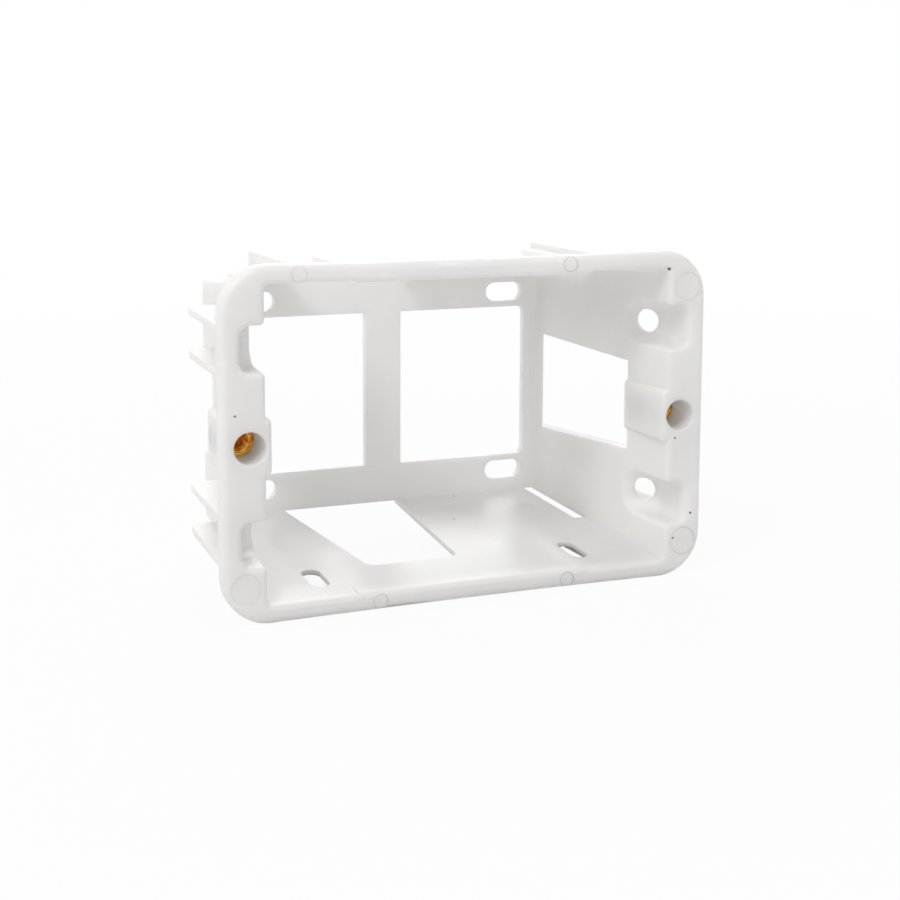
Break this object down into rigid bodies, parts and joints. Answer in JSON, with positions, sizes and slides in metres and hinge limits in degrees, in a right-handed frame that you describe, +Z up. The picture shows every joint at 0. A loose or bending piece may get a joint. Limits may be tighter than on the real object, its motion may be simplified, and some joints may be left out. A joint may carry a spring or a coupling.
{
  "type": "flush mounting box",
  "caption": "Open moulded flush mounting box for wall wiring, with a rim, angled screw pockets, threaded inserts, cable windows and outer ribs.",
  "frame": {"origin": "middle of the front face, halfway between the two fixing screws", "axes": "+X to the right seen from the front, +Y into the wall, +Z up"},
  "size_m": [0.0936, 0.05, 0.062],
  "materials": {
    "moulding": "satin",
    "insert": "machined"
  },
  "bodies": {
    "root": {"box_shell": "moulding", "left_threaded_insert": "insert", "right_threaded_insert": "insert"}
  },
  "joints": []
}
